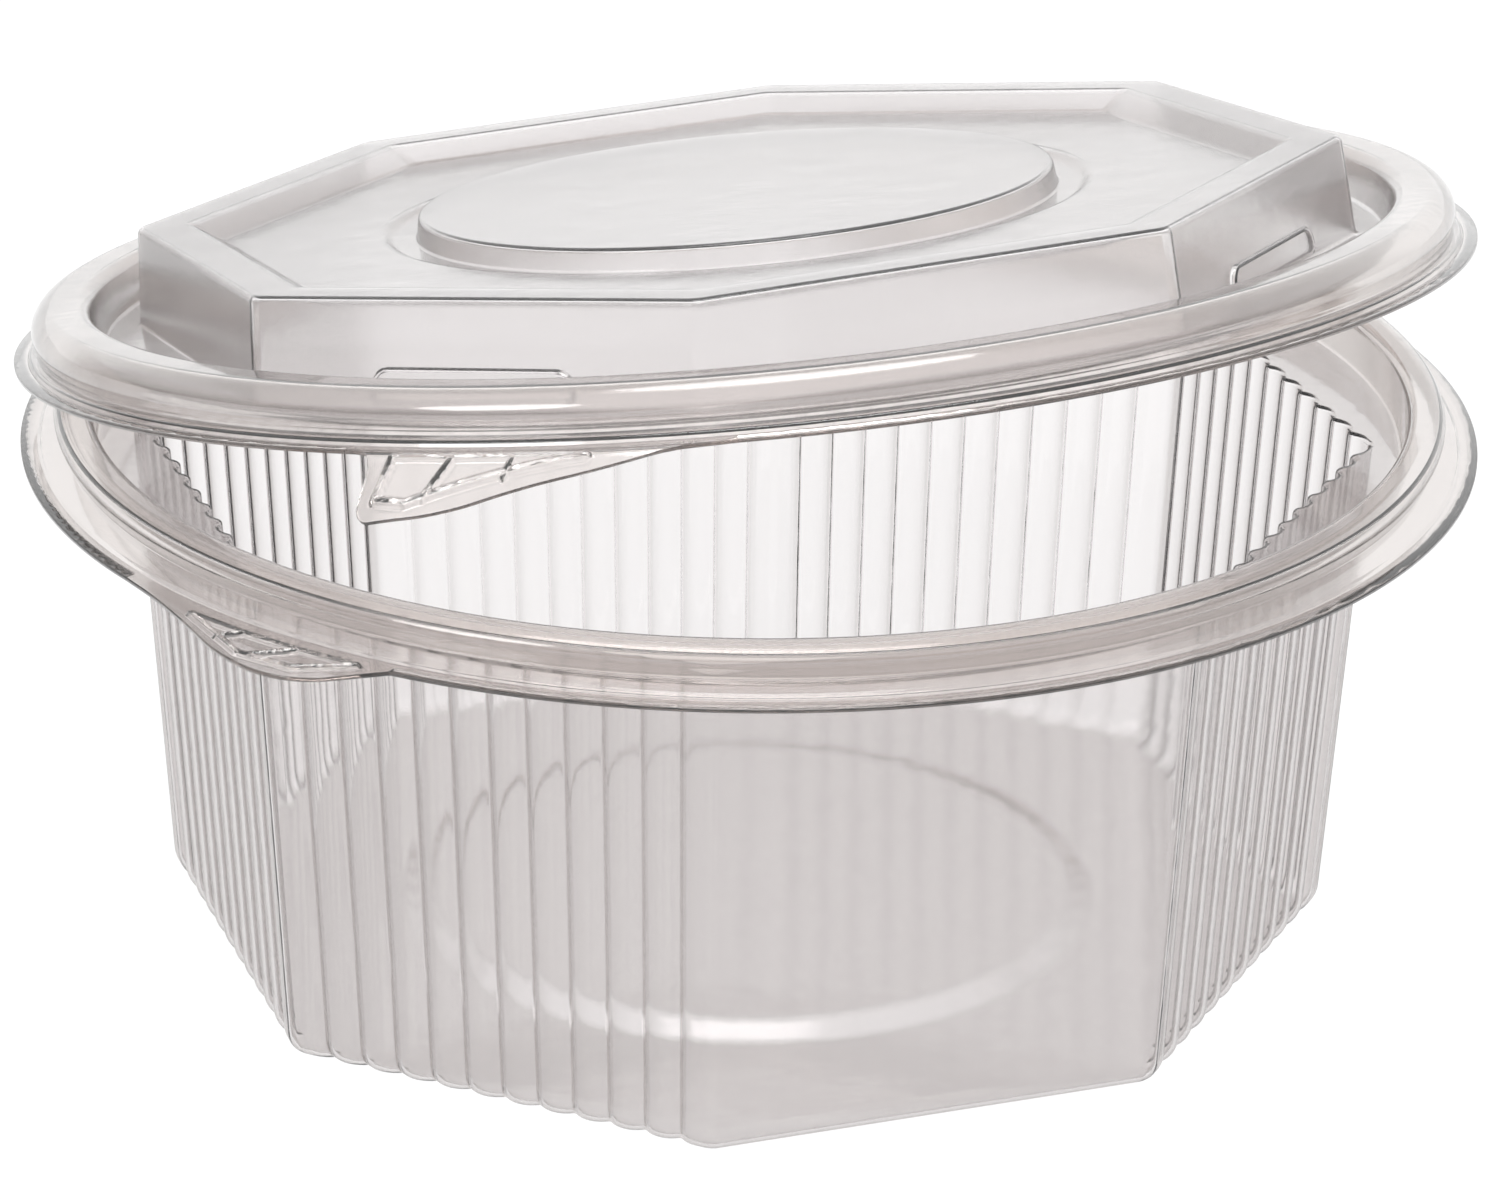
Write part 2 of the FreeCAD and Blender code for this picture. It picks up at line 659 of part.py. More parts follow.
def open_lid(doc, s, formed, tab):
    """The lid in one piece, turned about the fold line to where it stands ajar."""
    lid = doc.addObject("Part::MultiFuse", "lid")
    lid.Shapes = [formed] + tab
    out = plan_point(1.0, s.hinge_angle)
    fold = out * s.hinge_reach + vec(0, 0, s.flange_height + s.closing_gap / 2)
    along = vec(-out.y, out.x)
    turn = FreeCAD.Rotation(along, s.ajar_angle)
    lid.Placement = FreeCAD.Placement(vec(0, 0), turn, fold)
    return lid


def check_document(doc, subparts):
    for item in doc.Objects:
        if "Invalid" in item.State or "Error" in item.State:
            raise RuntimeError(f"{item.Name} failed: {item.State}")
    for item in subparts:
        if item.Shape.isNull() or not item.Shape.isValid():
            raise RuntimeError(f"{item.Label} has no valid shape")


def main():
    doc = FreeCAD.newDocument("clamshell_pack")
    s = Sizes(make_sheet(doc))
    tub = make_tub(doc, s)
    formed = make_lid(doc, s)
    tab = make_lid_tab(doc, s)
    lid = open_lid(doc, s, formed, tab)
    doc.recompute()
    subparts = [tub, lid]
    check_document(doc, subparts)
    os.makedirs("parts", exist_ok=True)
    for item in subparts:
        item.Shape.exportStep(f"parts/{item.Label}.step")
        box = item.Shape.BoundBox
        print(item.Label, "solids", len(item.Shape.Solids), "volume", round(item.Shape.Volume),
              "z", round(box.ZMin, 2), round(box.ZMax, 2), "size", round(box.XLength, 1), round(box.YLength, 1))


main()
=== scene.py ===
# %% [markdown]
# # A clear clamshell pack
# The pack is one sheet of clear plastic, half a millimetre thick, drawn over two moulds: a
# fluted octagonal tub and a domed lid, each with a round rim, joined by a thin strip that
# folds. Here each half is a surface in the middle of the sheet, shaped by bmesh operators,
# and a Solidify modifier gives it the sheet's real thickness. That is close to how
# the real one is formed, and it puts the cut edges, which show most in clear plastic,
# where they belong. The frame comes first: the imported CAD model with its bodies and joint.

# %% The frame
import math
import bmesh
import bpy
from mathutils import Matrix, Vector


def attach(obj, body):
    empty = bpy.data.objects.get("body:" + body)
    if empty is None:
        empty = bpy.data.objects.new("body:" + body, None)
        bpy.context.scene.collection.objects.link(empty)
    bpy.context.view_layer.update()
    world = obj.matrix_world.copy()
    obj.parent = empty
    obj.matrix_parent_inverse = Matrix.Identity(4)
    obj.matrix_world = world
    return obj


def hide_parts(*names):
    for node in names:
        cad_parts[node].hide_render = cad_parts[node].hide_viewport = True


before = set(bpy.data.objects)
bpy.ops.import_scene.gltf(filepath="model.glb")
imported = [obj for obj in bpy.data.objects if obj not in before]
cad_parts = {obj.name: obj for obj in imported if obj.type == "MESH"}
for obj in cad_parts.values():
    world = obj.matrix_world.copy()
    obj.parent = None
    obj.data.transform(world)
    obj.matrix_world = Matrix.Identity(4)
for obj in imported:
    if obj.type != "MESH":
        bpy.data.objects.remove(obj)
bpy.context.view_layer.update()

# %% [markdown]
# All sizes below are millimetres, and a finished mesh is scaled to metres once. Heights
# count from the table. The rim is the part that both halves share: a flat flange, a fine step,
# a crease and a round bead that snaps into the lid's. Clear sheet has no colour of its own, so
# these small folds are all that the eye gets to see, and they carry their true sizes.

# %% Sizes of the sheet and its rims
GAUGE = 0.5
HALF_GAUGE = GAUGE / 2
FACES = 8
HALF_TURN = math.pi / FACES
TURN = 2 * HALF_TURN
RIM = 84.97
FLANGE = 61.0
STEP = 82.9
STEP_RISE = 0.35
CREASE = 80.2
CREASE_RISE = 1.2
BEAD = 81.4
BEAD_BULGE_RISE = 3.6
BEAD_RISE = 4.9
BEAD_INNER = 76.8
BEAD_ROUNDING = 1.6
LEDGE = 76.2
LEDGE_DROP = 1.0
LEDGE_INNER = 74.6
FLANGE_INNER = STEP + 0.5
MOUTH_CORNER = 73.2
FOOT_CORNER = 69.4
print("rim", 2 * RIM, "mm across,", FLANGE, "mm above the table")

# %% [markdown]
# A turned shape starts as a wire: the section's corners joined by edges. Rounding the corners by
# a vertex bevel, each with its own reach, keeps the list short, because an arc is then one
# number and not a row of points. Spinning the wire by an eighth of a turn, and then spinning
# copies of that eighth round the axis, costs far less time than one long spin.

# %% Wires, turned surfaces and rings
ROUNDING_STEPS = 5
COLUMNS = 384
WELD = 0.003
AXIS = {"cent": (0, 0, 0), "axis": (0, 0, 1)}


def wire(bm, corners, closed=False):
    """Edges through (across, height, rounding) corners in the XZ plane, corners rounded."""
    verts = [bm.verts.new((x, 0, z)) for x, z, _ in corners]
    pairs = list(zip(verts, verts[1:] + verts[:1]))
    for pair in pairs if closed else pairs[:-1]:
        bm.edges.new(pair)
    for vert, (_, _, reach) in zip(verts, corners):
        if reach:
            bmesh.ops.bevel(bm, geom=[vert], affect="VERTICES", offset=reach, offset_type="OFFSET",
                            segments=ROUNDING_STEPS, profile=0.5, material=-1, clamp_overlap=True)


def joined(bm, piece):
    """Bring a piece that was made by itself into a larger mesh."""
    mesh = bpy.data.meshes.new("piece")
    piece.to_mesh(mesh)
    piece.free()
    bm.from_mesh(mesh)
    bpy.data.meshes.remove(mesh)


def turned(bm, corners):
    """The surface that a section makes when it turns once about the upright axis."""
    ring = bmesh.new()
    wire(ring, corners)
    bmesh.ops.spin(ring, geom=ring.verts[:] + ring.edges[:], angle=TURN, steps=COLUMNS // FACES, **AXIS)
    eighth = ring.verts[:] + ring.edges[:] + ring.faces[:]
    bmesh.ops.spin(ring, geom=eighth, angle=TURN * (FACES - 1), steps=FACES - 1, use_duplicate=True, **AXIS)
    bmesh.ops.remove_doubles(ring, verts=ring.verts, dist=WELD)
    joined(bm, ring)


def profile(corners):
    """The points of a section in order, its corners rounded."""
    bm = bmesh.new()
    wire(bm, corners)
    ends = [vert for vert in bm.verts if len(vert.link_edges) == 1]
    vert = min(ends, key=lambda end: (end.co - Vector((corners[0][0], 0, corners[0][1]))).length)
    points, edge = [(vert.co.x, vert.co.z)], None
    while len(points) < len(bm.verts):
        edge = next(item for item in vert.link_edges if item != edge)
        vert = edge.other_vert(vert)
        points.append((vert.co.x, vert.co.z))
    bm.free()
    return points


def open_ring(bm, radius, height):
    """The boundary edges of the surface that lie near a circle at a height."""
    def on_it(vert):
        return abs(vert.co.xy.length - radius) < 0.02 and abs(vert.co.z - height) < 0.02
    return [edge for edge in bm.edges if edge.is_boundary and all(on_it(vert) for vert in edge.verts)]


def extruded(bm, ring, scale, height):
    """A new ring of edges joined to the last by faces, scaled in plan and put at a height."""
    made = bmesh.ops.extrude_edge_only(bm, edges=ring)["geom"]
    verts = [item for item in made if isinstance(item, bmesh.types.BMVert)]
    fresh = set(verts)
    bmesh.ops.scale(bm, verts=verts, vec=(scale, scale, 1))
    for vert in verts:
        vert.co.z = height
    return [edge for edge in made if isinstance(edge, bmesh.types.BMEdge) and set(edge.verts) <= fresh]


def drawn(bm, ring, points):
    """Rings of faces from an outline through the points of a profile; the last ring is returned."""
    for (last, _), (across, height) in zip(points, points[1:]):
        ring = extruded(bm, ring, across / last, height)
    return ring


def filled(bm, *loops):
    """Flat faces that close a loop of edges, or the band between two loops."""
    edges = [edge for loop in loops for edge in loop]
    bmesh.ops.triangle_fill(bm, edges=edges, use_beauty=True, use_dissolve=False)


# %% [markdown]
# The tub's wall is an octagon with ten half-round flutes on each face but one, which stays plain
# for a label. One flute is an arc: a single vertex spun about the flute's axis. A spin that only
# shifts copies it along the face, and a second spin copies the face round the octagon. The wire
# goes in at the mouth, and every ring below it is an extrusion scaled in, which is
# just how a mould tapers so that the sheet lets go of it. The grooves between flutes are
# rounded by a vertex bevel: in clear sheet a small radius is what catches a line of light.

# %% The fluted outline
FLUTES = 10
FLUTE_DEPTH = 1.1
FLUTE_STEPS = 10
CORNER_MARGIN = 4.4
CORNER_ROUNDING = 2.0
GROOVE_REACH = 0.7
GROOVE_STEPS = 4
SHARP_TURN = 1.2
MOUTH_FLAT = MOUTH_CORNER * math.cos(HALF_TURN) - HALF_GAUGE


def spun_arc(bm, start, centre, angle, steps):
    """Edges of an arc: one vertex spun about a centre."""
    vert = bm.verts.new(start)
    bmesh.ops.spin(bm, geom=[vert], cent=centre, axis=(0, 0, 1), angle=angle, steps=steps)


def rounded(bm, verts, reach, steps):
    bmesh.ops.bevel(bm, geom=verts, affect="VERTICES", offset=reach, offset_type="OFFSET",
                    segments=steps, profile=0.5, material=-1)


def fluted_face(bm, flat, height):
    """One face of the outline, looking along +Y: its flutes and the plain strips at its ends."""
    side = 2 * flat * math.tan(HALF_TURN)
    pitch = (side - 2 * CORNER_MARGIN) / FLUTES
    bulge = ((pitch / 2) ** 2 + FLUTE_DEPTH ** 2) / (2 * FLUTE_DEPTH)
    sweep = 2 * math.asin(pitch / 2 / bulge)
    first = -pitch * (FLUTES - 1) / 2
    groove = flat - FLUTE_DEPTH
    spun_arc(bm, (first + pitch / 2, groove, height), (first, flat - bulge, height), sweep, FLUTE_STEPS)
    bmesh.ops.spin(bm, geom=bm.verts[:] + bm.edges[:], cent=(0, 0, 0), axis=(0, 0, 1), angle=0,
                   dvec=(pitch, 0, 0), steps=FLUTES - 1, use_duplicate=True)
    outer = pitch * (FLUTES + 1) / 2
    for end in (-1, 1):
        spun_arc(bm, (end * outer, flat, height), (end * outer, flat - bulge, height),
                 end * sweep / 2, FLUTE_STEPS // 2)
        crest = bm.verts.new((end * outer, flat, height))
        corner = bm.verts.new((end * side / 2, flat, height))
        bm.edges.new((crest, corner))


def fluted_outline(bm, flat, height):
    """A closed wire: the octagon with its flutes, its faces at the distance flat."""
    fluted_face(bm, flat, height)
    bmesh.ops.rotate(bm, verts=bm.verts, cent=(0, 0, 0), matrix=Matrix.Rotation(TURN - math.pi, 3, "Z"))
    bmesh.ops.spin(bm, geom=bm.verts[:] + bm.edges[:], angle=TURN * (FACES - 2), steps=FACES - 2,
                   use_duplicate=True, **AXIS)
    bmesh.ops.remove_doubles(bm, verts=bm.verts, dist=WELD)
    bm.edges.new([vert for vert in bm.verts if len(vert.link_edges) == 1])
    grooves = [vert for vert in bm.verts if vert.calc_edge_angle() > SHARP_TURN]
    rounded(bm, grooves, GROOVE_REACH, GROOVE_STEPS)
    corner_reach = flat / math.cos(HALF_TURN) - 0.01
    corners = [vert for vert in bm.verts if vert.co.xy.length > corner_reach]
    rounded(bm, corners, CORNER_ROUNDING * math.tan(HALF_TURN), ROUNDING_STEPS)
    return bm.edges[:]


# %% [markdown]
# The flange isn't a plain ring. Its outer edge runs out round the hinge's tongue and opens into a
# finger tab, so the edge is drawn as a wire and the flange is the flat band between it and
# the rim's first fold. The tab is a grid stretched between the rim and the tab's own edge, each
# taken at equal shares of its length. Ribs are a height added near a few lines, highest on
# the line and fading to nothing at half a rib's width. The lid's tab also hangs from its root.
# Places on a tab are given as millimetres along from the line between the two tabs, and
# millimetres beyond the rim.

# %% The flange's edge, the hinge's tongue and the finger tabs
HINGE_HEADING = math.radians(103.5)
HINGE_REACH = 86.6
HINGE_HALF = 17.0
HINGE_FOOT = 18.2
HINGE_TAPER = 1.4
TAB_HEADING = math.radians(224.0)
TAB_DROOP = math.radians(45)
TAB_ROOT = 1.2
TAB_BEND = 0.5
TAB_COLUMNS = 220
TAB_ROWS = 44
RIB_WIDTH = 1.15
RIB_RISE = 0.55
EDGE_STEPS = 150
TUB_TAB = {
    "side": 1,
    "droop": 0.0,
    "edge": [(0.0, 0.0, 0), (6.8, 6.3, 2.5), (12.5, 7.5, 2.6), (19.6, 5.7, 3.0), (26.0, 2.6, 3.0),
             (33.0, 0.5, 2.6), (38.5, 0.0, 0)],
    "ribs": [(3.6, 0.7), (9.6, 4.8), (16.5, 5.0), (26.5, 0.9), (18.5, 0.7), (11.1, 0.7), (3.6, 0.7)],
    "bars": [((11.1, 0.7), (15.4, 4.9)), ((18.5, 0.7), (20.8, 3.2))],
}
LID_TAB = {
    "side": -1,
    "droop": TAB_DROOP,
    "edge": [(-4.2, 0.0, 0), (0.4, 0.35, 3.0), (0.6, 7.3, 1.8), (10.4, 6.3, 3.5), (27.7, 2.5, 5.0), (38.0, 0.0, 0)],
    "ribs": [(2.9, 1.4), (2.4, 5.3), (6.0, 5.45), (24.0, 1.6), (16.5, 1.4), (9.9, 1.4), (2.9, 1.4)],
    "bars": [((9.9, 1.4), (7.9, 5.0)), ((16.5, 1.4), (16.1, 3.2))],
}


def at_rim(x, beyond=0.0):
    return math.sqrt((RIM + beyond) ** 2 - x ** 2)


def at_share(path, share):
    """The point at a share of a path's length."""
    lengths = [(Vector(two) - Vector(one)).length for one, two in zip(path, path[1:])]
    left = share * sum(lengths)
    for one, two, length in zip(path, path[1:], lengths):
        if left <= length:
            return Vector(one).lerp(Vector(two), left / length)
        left -= length
    return Vector(path[-1])


def distance_to(line, place):
    """How far a place in plan lies from a line between two points."""
    one, run = line[0], line[1] - line[0]
    share = min(max((place - one).dot(run) / run.length_squared, 0), 1)
    return (place - one - run * share).length


def bent(beyond):
    """Fall of a hanging tab at a distance beyond its root, with a rounded bend."""
    if beyond < -TAB_BEND:
        return 0.0
    if beyond < TAB_BEND:
        return (beyond + TAB_BEND) ** 2 / (4 * TAB_BEND)
    return beyond


def finger_tab(bm, height, tab):
    """A finger tab as a grid between the rim and the tab's edge, with its ribs."""
    edge = profile([(x, at_rim(x, beyond), reach) for x, beyond, reach in tab["edge"]])
    first, last = tab["edge"][0][0], tab["edge"][-1][0]
    in_plan = [Vector((x, at_rim(x, beyond))) for x, beyond in tab["ribs"]]
    bars = [[Vector((x, at_rim(x, beyond))) for x, beyond in bar] for bar in tab["bars"]]
    lines = list(zip(in_plan, in_plan[1:])) + bars
    outer = [at_share(edge, column / TAB_COLUMNS) for column in range(TAB_COLUMNS + 1)]
    made = bmesh.ops.create_grid(bm, x_segments=TAB_COLUMNS, y_segments=TAB_ROWS, size=1)["verts"]
    slope = tab["droop"]
    for vert in made:
        share = (vert.co.x + 1) / 2
        x = first + (last - first) * share
        place = Vector((x, at_rim(x))).lerp(outer[round(share * TAB_COLUMNS)], (vert.co.y + 1) / 2)
        near = min(distance_to(line, place) for line in lines) / (RIB_WIDTH / 2)
        rib = RIB_RISE * (0.5 + 0.5 * math.cos(math.pi * near)) if near < 1 else 0.0
        fall = math.tan(slope) * bent(place.length - RIM - TAB_ROOT)
        place += place.normalized() * rib * math.sin(slope)
        vert.co = (tab["side"] * place.x, place.y, height - fall + rib * math.cos(slope))
    turn = Matrix.Rotation(TAB_HEADING - math.pi / 2, 3, "Z")
    bmesh.ops.rotate(bm, verts=made, cent=(0, 0, 0), matrix=turn)


def flange(bm, height, inner, tab):
    """The flat flange with its hinge tongue and finger tab; inner is the radius it starts at."""
    plate = bmesh.new()
    finger_tab(plate, height, tab)
    bmesh.ops.remove_doubles(plate, verts=plate.verts, dist=WELD)
    joined(bm, plate)
    rim = bmesh.new()
    wire(rim, [(-HINGE_FOOT, at_rim(HINGE_FOOT), 0), (-HINGE_HALF, HINGE_REACH, HINGE_TAPER),
               (HINGE_HALF, HINGE_REACH, HINGE_TAPER), (HINGE_FOOT, at_rim(HINGE_FOOT), 0)])
    stand = Matrix.Translation((0, 0, height)) @ Matrix.Rotation(HINGE_HEADING - math.pi / 2, 4, "Z")
    lie = Matrix.Rotation(-math.pi / 2, 4, "X")
    bmesh.ops.transform(rim, verts=rim.verts, matrix=stand @ lie)
    hinge_half = math.asin(HINGE_FOOT / RIM)
    ends = [TAB_HEADING - tab["side"] * math.asin(tab["edge"][end][0] / RIM) for end in (0, -1)]
    for start, end in ((HINGE_HEADING + hinge_half, min(ends)),
                       (max(ends), HINGE_HEADING - hinge_half + 2 * math.pi)):
        place = (RIM * math.cos(start), RIM * math.sin(start), height)
        spun_arc(rim, place, (0, 0, height), end - start, EDGE_STEPS)
    joined(bm, rim)
    bmesh.ops.remove_doubles(bm, verts=bm.verts, dist=WELD)
    outer = [edge for edge in bm.edges if edge.is_wire] + open_ring(bm, RIM, height)
    filled(bm, outer, open_ring(bm, inner, height))


# %% [markdown]
# The tub goes together from the wall with its rounded toes, the turned rim, the raised disc that
# stiffens the floor, and the flat bands between them: the ledge under the bead, and the foot.
# Each band is one triangle_fill between two loops, however many edges either has.

# %% The tub's surface
TOE_HEIGHT = 3.4
TOE_DEPTH = 2.4
TOE_STEPS = 7
MOUTH_ROUNDING = 0.4
KICK = 42.0
KICK_SLOPE = 3.2
KICK_RISE = 1.4
FOOT_RING = 46.0


def tub_rim_section():
    ledge = FLANGE - LEDGE_DROP - HALF_GAUGE
    return [
        (FLANGE_INNER, FLANGE - HALF_GAUGE, 0),
        (STEP, FLANGE - HALF_GAUGE, 0.12),
        (STEP - STEP_RISE, FLANGE + STEP_RISE - HALF_GAUGE, 0.12),
        (CREASE - HALF_GAUGE, FLANGE + CREASE_RISE, 0.35),
        (BEAD - HALF_GAUGE, FLANGE + BEAD_BULGE_RISE, 0.9),
        (BEAD - BEAD_ROUNDING, FLANGE + BEAD_RISE - HALF_GAUGE, 0.8),
        (BEAD_INNER + HALF_GAUGE, FLANGE + BEAD_RISE - HALF_GAUGE, 0.8),
        (LEDGE + HALF_GAUGE, ledge, 0.5),
        (LEDGE_INNER, ledge, 0),
    ]


def kick_section():
    foot = HALF_GAUGE
    return [
        (FOOT_RING, foot, 0),
        (KICK, foot, 0.6),
        (KICK - KICK_SLOPE, foot + KICK_RISE, 0.6),
        (KICK / 2, foot + KICK_RISE, 0),
    ]


def wall_profile(ledge):
    """The wall from the mouth to the foot: (distance to a face, height) points."""
    foot_flat = FOOT_CORNER * math.cos(HALF_TURN) - HALF_GAUGE
    toe_flat = foot_flat + (MOUTH_FLAT - foot_flat) * TOE_HEIGHT / ledge
    points = profile([(MOUTH_FLAT + 2 * MOUTH_ROUNDING, ledge, 0), (MOUTH_FLAT, ledge, MOUTH_ROUNDING),
                      (toe_flat, TOE_HEIGHT, 0)])
    for step in range(1, TOE_STEPS + 1):
        angle = math.pi / 2 * step / TOE_STEPS
        across = toe_flat - (TOE_DEPTH - HALF_GAUGE) * (1 - math.cos(angle))
        points.append((across, TOE_HEIGHT - (TOE_HEIGHT - HALF_GAUGE) * math.sin(angle)))
    return points


def tub_surface():
    bm = bmesh.new()
    ledge = FLANGE - LEDGE_DROP - HALF_GAUGE
    points = wall_profile(ledge)
    mouth = fluted_outline(bm, points[0][0], ledge)
    foot = drawn(bm, mouth, points)
    turned(bm, tub_rim_section())
    turned(bm, kick_section())
    edges_of = {height: [edge for edge in bm.edges if edge.is_boundary
                         and all(abs(vert.co.z - height) < 0.01 for vert in edge.verts)]
                for height in (ledge, HALF_GAUGE)}
    filled(bm, edges_of[ledge])
    filled(bm, edges_of[HALF_GAUGE])
    filled(bm, open_ring(bm, KICK / 2, HALF_GAUGE + KICK_RISE))
    flange(bm, FLANGE - HALF_GAUGE, FLANGE_INNER, TUB_TAB)
    return bm


# %% [markdown]
# The lid's rim is the tub's rim over again, one sheet further out, so that it closes over the
# bead. Inside it lies a shallow moat, and from the moat rises the octagonal dome with its flat
# ridge, the pan inside the ridge, and a ring groove round a raised disc. Every other face of
# the dome has a lug for stacking: its outline is cut into the flat face as a second loop, and
# the loop is then drawn out and closed.

# %% The lid's surface, as it lies when shut
CLOSING_GAP = 0.3
BASE = FLANGE + CLOSING_GAP
BEAD_CLEARANCE = 0.35
CHANNEL_CLEARANCE = 1.0
CREST_CLEARANCE = 1.2
LID_CREASE_RISE = 1.75
LID_BULGE = 0.6
LID_BULGE_RISE = 4.0
MOAT_RISE = 0.9
MOAT_RING = 73.2
MOAT_STRIP = 0.9
DOME_FOOT_CORNER = 71.4
DOME_CORNER = 70.4
DOME_RISE = 12.4
DOME_ROUNDING = 0.55
RIDGE_WIDTH = 5.4
PAN_SLOPE = 3.4
PAN_DROP = 2.3
PAN_STRIP = 1.5
PAN_RING = 43.0
GROOVE = 41.2
GROOVE_SLOPE = 1.1
GROOVE_DROP = 0.8
DISC = 36.7
DISC_SLOPE = 0.4
DISC_DROP = 0.4
LUG_WIDTH = 25.0
LUG_RISE = 5.0
LUG_FOOT = 1.7
LUG_DEPTH = 0.7
LUG_ROUNDING = 2.0
LUG_FOOT_ROUNDING = 0.8
LUG_CHAMFER = 0.25


def lid_rim_section():
    lip = BEAD + BEAD_CLEARANCE + HALF_GAUGE
    lip_rise = STEP_RISE + CREASE_RISE / 2 - CLOSING_GAP + HALF_GAUGE
    crest = BEAD_RISE - CLOSING_GAP + CREST_CLEARANCE + HALF_GAUGE
    channel = BEAD_INNER - CHANNEL_CLEARANCE + HALF_GAUGE
    moat_edge = LEDGE - CHANNEL_CLEARANCE - GAUGE
    return [
        (FLANGE_INNER, BASE + HALF_GAUGE, 0),
        (STEP + HALF_GAUGE, BASE + HALF_GAUGE, 0.12),
        (STEP, BASE + lip_rise, 0.12),
        (lip + 0.1, BASE + lip_rise + 0.1, 0),
        (lip, BASE + LID_CREASE_RISE, 0.3),
        (lip + LID_BULGE, BASE + LID_BULGE_RISE, 1.0),
        (lip - 1.0, BASE + crest, 1.1),
        (channel, BASE + crest, 1.1),
        (moat_edge, BASE + MOAT_RISE - HALF_GAUGE, 0.6),
        (MOAT_RING, BASE + MOAT_RISE - HALF_GAUGE, 0),
    ]


def disc_section():
    pan = BASE + DOME_RISE - PAN_DROP - HALF_GAUGE
    groove_foot = DISC + DISC_SLOPE
    top = BASE + DOME_RISE - DISC_DROP - HALF_GAUGE
    return [
        (PAN_RING, pan, 0),
        (GROOVE, pan, 0.4),
        (GROOVE - GROOVE_SLOPE, pan - GROOVE_DROP, 0.5),
        (groove_foot, pan - GROOVE_DROP, 0.5),
        (DISC, top, 0.35),
        (DISC / 2, top, 0),
    ]


def octagon_outline(bm, flat, rounding, height):
    """A closed wire: a plain octagon with rounded corners."""
    made = bmesh.ops.create_circle(bm, segments=FACES, radius=flat / math.cos(HALF_TURN))["verts"]
    bmesh.ops.rotate(bm, verts=made, cent=(0, 0, 0), matrix=Matrix.Rotation(HALF_TURN, 3, "Z"))
    bmesh.ops.translate(bm, verts=made, vec=(0, 0, height))
    rounded(bm, made, rounding * math.tan(HALF_TURN), ROUNDING_STEPS)
    return bm.edges[:]


def add_lug(bm, wall, slope):
    """Draw a lug out of one flat face of the dome; slope gives the face's distance at a height."""
    middle = wall.calc_center_median()
    heading = math.atan2(middle.y, middle.x)
    around = wall.edges[:]
    bmesh.ops.delete(bm, geom=[wall], context="FACES_ONLY")
    foot, top, half = BASE + LUG_FOOT, BASE + LUG_RISE - HALF_GAUGE, LUG_WIDTH / 2 - HALF_GAUGE
    lug = bmesh.new()
    wire(lug, [(-half, foot, LUG_FOOT_ROUNDING), (half, foot, LUG_FOOT_ROUNDING),
               (half, top, LUG_ROUNDING), (-half, top, LUG_ROUNDING)], closed=True)
    for vert in lug.verts:
        vert.co.y = slope(vert.co.z)
    bmesh.ops.rotate(lug, verts=lug.verts, cent=(0, 0, 0), matrix=Matrix.Rotation(heading - math.pi / 2, 3, "Z"))
    joined(bm, lug)
    ring = [edge for edge in bm.edges if edge.is_wire]
    filled(bm, around, ring)
    out = Vector((math.cos(heading), math.sin(heading), 0))
    centre = Vector((middle.x, middle.y, (foot + top) / 2))
    shrink = 1 - LUG_CHAMFER / (top - foot)
    for push, scale in ((LUG_DEPTH - LUG_CHAMFER, 1.0), (LUG_CHAMFER, shrink)):
        made = bmesh.ops.extrude_edge_only(bm, edges=ring)["geom"]
        verts = [item for item in made if isinstance(item, bmesh.types.BMVert)]
        bmesh.ops.translate(bm, verts=verts, vec=out * push)
        narrow = 1 - LUG_CHAMFER / half if scale < 1 else 1.0
        turn = Matrix.Rotation(-heading, 4, "Z") @ Matrix.Translation(-centre)
        bmesh.ops.scale(bm, verts=verts, vec=(1.0, narrow, scale), space=turn)
        fresh = set(verts)
        ring = [edge for edge in made if isinstance(edge, bmesh.types.BMEdge) and set(edge.verts) <= fresh]
    filled(bm, ring)


def lid_surface():
    bm = bmesh.new()
    moat = BASE + MOAT_RISE - HALF_GAUGE
    top = BASE + DOME_RISE - HALF_GAUGE
    pan = top - PAN_DROP
    foot_flat = DOME_FOOT_CORNER * math.cos(HALF_TURN) - HALF_GAUGE
    top_flat = DOME_CORNER * math.cos(HALF_TURN) - HALF_GAUGE
    ridge_flat = top_flat - RIDGE_WIDTH
    pan_flat = ridge_flat - PAN_SLOPE
    points = profile([(foot_flat + MOAT_STRIP, moat, 0), (foot_flat, moat, DOME_ROUNDING),
                      (top_flat, top, DOME_ROUNDING), (ridge_flat, top, DOME_ROUNDING),
                      (pan_flat, pan, DOME_ROUNDING), (pan_flat - PAN_STRIP, pan, 0)])
    drawn(bm, octagon_outline(bm, points[0][0], CORNER_ROUNDING, moat), points)
    walls = [face for face in bm.faces if face.calc_area() > (top - moat) * LUG_WIDTH
             and (top - moat) / 3 < face.calc_center_median().z - moat < (top - moat) * 2 / 3]
    for wall in walls:
        middle = wall.calc_center_median()
        if abs(middle.x * middle.y) > abs(middle.x ** 2 - middle.y ** 2):
            add_lug(bm, wall, lambda z: foot_flat + (top_flat - foot_flat) * (z - moat) / (top - moat))
    turned(bm, lid_rim_section())
    turned(bm, disc_section())
    for height in (moat, pan):
        filled(bm, [edge for edge in bm.edges if edge.is_boundary
                    and all(abs(vert.co.z - height) < 0.01 for vert in edge.verts)])
    filled(bm, open_ring(bm, DISC / 2, top - DISC_DROP))
    flange(bm, BASE + HALF_GAUGE, FLANGE_INNER, LID_TAB)
    return bm


# %% [markdown]
# Both surfaces become objects in the same way: loose ends welded, normals made to agree, edges
# over a given angle marked sharp, millimetres turned into metres, and then the sheet's
# thickness. The weighted normals keep the large flat faces flat beside their small
# rounded edges, which matters a great deal where the surface bends light.

